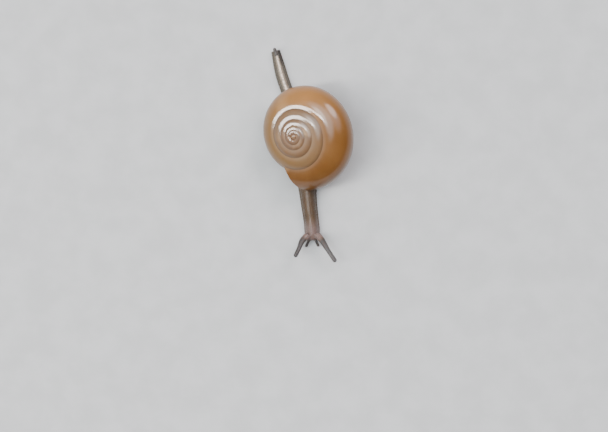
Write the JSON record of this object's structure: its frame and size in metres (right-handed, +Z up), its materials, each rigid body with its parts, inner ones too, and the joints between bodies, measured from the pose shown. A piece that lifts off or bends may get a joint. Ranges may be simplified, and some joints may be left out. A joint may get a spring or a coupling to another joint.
{
  "type": "land snail model",
  "caption": "Life-size still model of a crawling land snail: a low, right-handed coiled shell on a slender body with four feelers, resting on its flat sole.",
  "frame": {"origin": "middle of the whole snail, on the surface it crawls on", "axes": "-Y towards the head, +Y towards the tail tip, -X the animal's right side, +Z up"},
  "size_m": [0.0154, 0.037, 0.0111],
  "materials": {
    "shell": "thin horny shell, amber brown, very glossy, with fine growth lines",
    "skin": "moist taupe-brown skin with fine tubercles, paler on the sole and tail keel",
    "horn": "dark moist skin",
    "eye": "black, wet and glossy"
  },
  "bodies": {
    "root": {"shell": "shell", "mantle_collar": "skin", "head": "skin", "neck": "skin", "trunk_front": "skin", "trunk_rear": "skin", "tail": "skin", "caudal_horn": "horn", "upper_feeler_left": "skin", "upper_feeler_right": "skin", "lower_feeler_left": "skin", "lower_feeler_right": "skin", "eye_left": "eye", "eye_right": "eye"}
  },
  "joints": []
}
